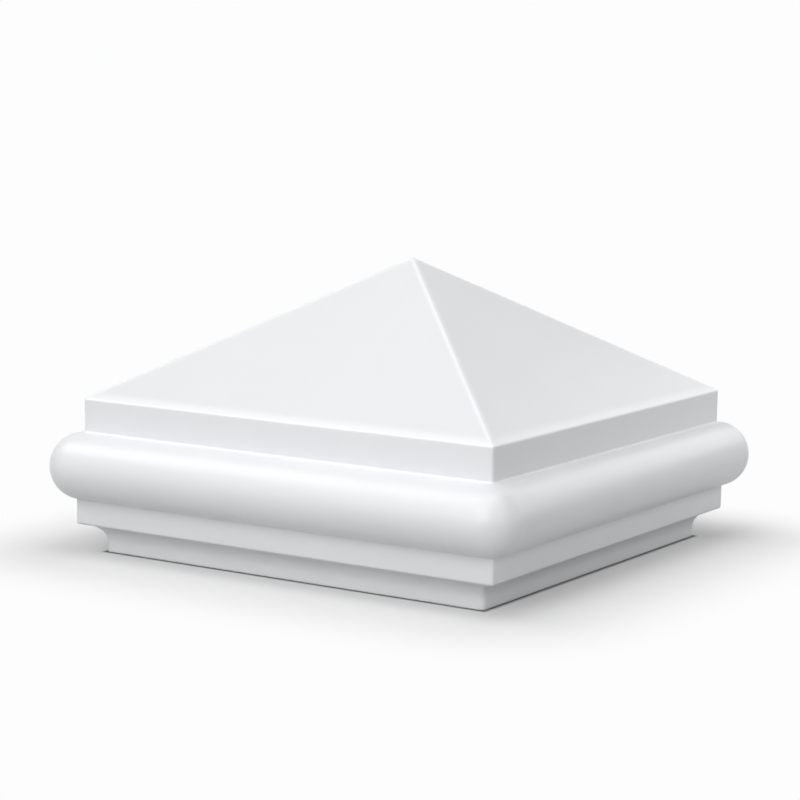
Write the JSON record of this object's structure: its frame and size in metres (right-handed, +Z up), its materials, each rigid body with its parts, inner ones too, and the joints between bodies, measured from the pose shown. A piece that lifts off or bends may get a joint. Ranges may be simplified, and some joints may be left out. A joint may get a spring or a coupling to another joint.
{
  "type": "newel post cap",
  "caption": "Square newel post cap with a pyramid roof over a bullnose edge between flat fascias, stepped in by a cove to a flat base that closes the top of a stair post.",
  "frame": {"origin": "middle of the flat underside, where the cap sits on the post", "axes": "+Z up from the post to the point of the roof; +X and +Y square to two neighbouring sides"},
  "size_m": [0.1866, 0.1866, 0.1024],
  "materials": {
    "moulded_urethane": "factory-primed white, smooth and satin as it leaves the mould"
  },
  "bodies": {
    "root": {"newel_post_cap": "moulded_urethane"}
  },
  "joints": []
}
